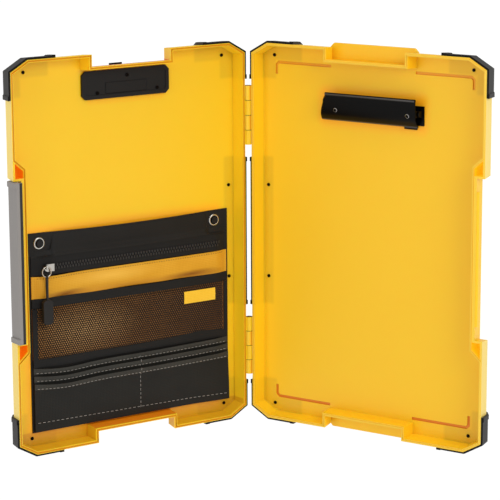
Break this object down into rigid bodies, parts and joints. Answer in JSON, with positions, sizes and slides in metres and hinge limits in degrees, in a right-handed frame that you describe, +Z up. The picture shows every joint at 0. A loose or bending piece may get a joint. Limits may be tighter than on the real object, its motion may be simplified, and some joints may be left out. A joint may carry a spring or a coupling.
{
  "type": "storage clipboard",
  "caption": "Hinged two-half storage clipboard with rubber corner guards, a side latch, a sprung paper clip and a fabric pocket organiser in the cover.",
  "frame": {"origin": "centre of the bounding box's bottom face, where the open case stands on the table", "axes": "+Z up along the hinge; the base half lies along +X with its open side towards -Y; the cover is turned 113 degrees open"},
  "size_m": [0.4098, 0.284, 0.4076],
  "materials": {
    "yellow_plastic": "satin",
    "black_rubber": "matte",
    "dark_screw": "satin",
    "steel": "brushed",
    "black_metal": "gloss",
    "grey_plastic": "matte",
    "black_plastic": "matte",
    "black_nylon": "woven",
    "yellow_nylon": "woven",
    "black_mesh": "net",
    "bright_metal": "polished",
    "black_cord": "braided",
    "dark_rubber": "matte",
    "yellow_label": "smooth"
  },
  "bodies": {
    "base": {"base_shell": "yellow_plastic", "base_guard_screws": "dark_screw", "base_guard_hinge_top": "black_rubber", "base_guard_hinge_bottom": "black_rubber", "base_guard_outer_top": "black_rubber", "base_guard_outer_bottom": "black_rubber", "base_spine_bumper": "black_rubber", "hinge_pin_upper": "steel", "hinge_pin_lower": "steel", "clip_base_plate": "black_metal", "clip_pivot_pin": "steel", "clip_spring": "steel", "clip_rivets": "black_metal"},
    "cover": {"cover_shell": "yellow_plastic", "cover_guard_screws": "dark_screw", "backing_plate_screws": "dark_screw", "latch_pin": "dark_screw", "outer_clip_base": "black_metal", "outer_clip_pin": "steel", "outer_clip_spring": "steel", "clip_backing_plate": "black_plastic", "organiser_panel": "black_nylon", "organiser_grommets": "bright_metal", "organiser_pegs": "black_plastic", "pouch_top_band": "black_nylon", "zip_tape": "black_nylon", "zip_teeth": "black_plastic", "pouch_front": "yellow_nylon", "pouch_binding": "black_nylon", "mesh_lining": "yellow_nylon", "mesh_pocket": "black_mesh", "mesh_binding": "black_nylon", "card_pocket_back": "black_nylon", "card_pocket_middle": "black_nylon", "card_pocket_front": "black_nylon", "pocket_label": "yellow_label", "cover_guard_hinge_top": "black_rubber", "cover_guard_hinge_bottom": "black_rubber", "cover_guard_outer_top": "black_rubber", "cover_guard_outer_bottom": "black_rubber", "cover_spine_bumper": "black_rubber"},
    "clip_lever": {"clip_lever": "black_metal"},
    "latch": {"latch_bar": "grey_plastic"},
    "outer_clip_lever": {"outer_clip_lever": "black_metal"},
    "zip_slider": {"zip_slider": "bright_metal"},
    "zip_pull": {"zip_pull_ring": "bright_metal", "zip_pull_cord": "black_cord", "zip_pull_tab": "dark_rubber"}
  },
  "joints": [
    {"name": "cover_hinge", "type": "hinge", "parent": "base", "child": "cover", "pos_m": [-0.07607, 0.118, 0.2036], "axis": [0, 0, 1], "range_deg": [-67, 113]},
    {"name": "latch_flip", "type": "hinge", "parent": "cover", "child": "latch", "pos_m": [-0.19134, -0.129, 0.2031], "axis": [0, 0, -1], "range_deg": [0, 110]},
    {"name": "clip_press", "type": "hinge", "parent": "base", "child": "clip_lever", "pos_m": [0.06593, 0.12999, 0.3421], "axis": [-1, 0, 0], "range_deg": [0, 25], "stiffness_Nm_per_rad": 0.4, "springref_deg": -28.65},
    {"name": "outer_clip_press", "type": "hinge", "parent": "cover", "child": "outer_clip_lever", "pos_m": [-0.15563, -0.00032, 0.3716], "axis": [0.3907, 0.9205, 0], "range_deg": [0, 25], "stiffness_Nm_per_rad": 0.4, "springref_deg": -28.65},
    {"name": "zip_slide", "type": "slide", "parent": "cover", "child": "zip_slider", "axis": [0.3907, 0.9205, 0], "range_m": [0, 0.185]},
    {"name": "zip_pull_swing", "type": "hinge", "parent": "zip_slider", "child": "zip_pull", "pos_m": [-0.17605, -0.09964, 0.1936], "axis": [-0.3907, -0.9205, 0], "range_deg": [0, 18]}
  ]
}
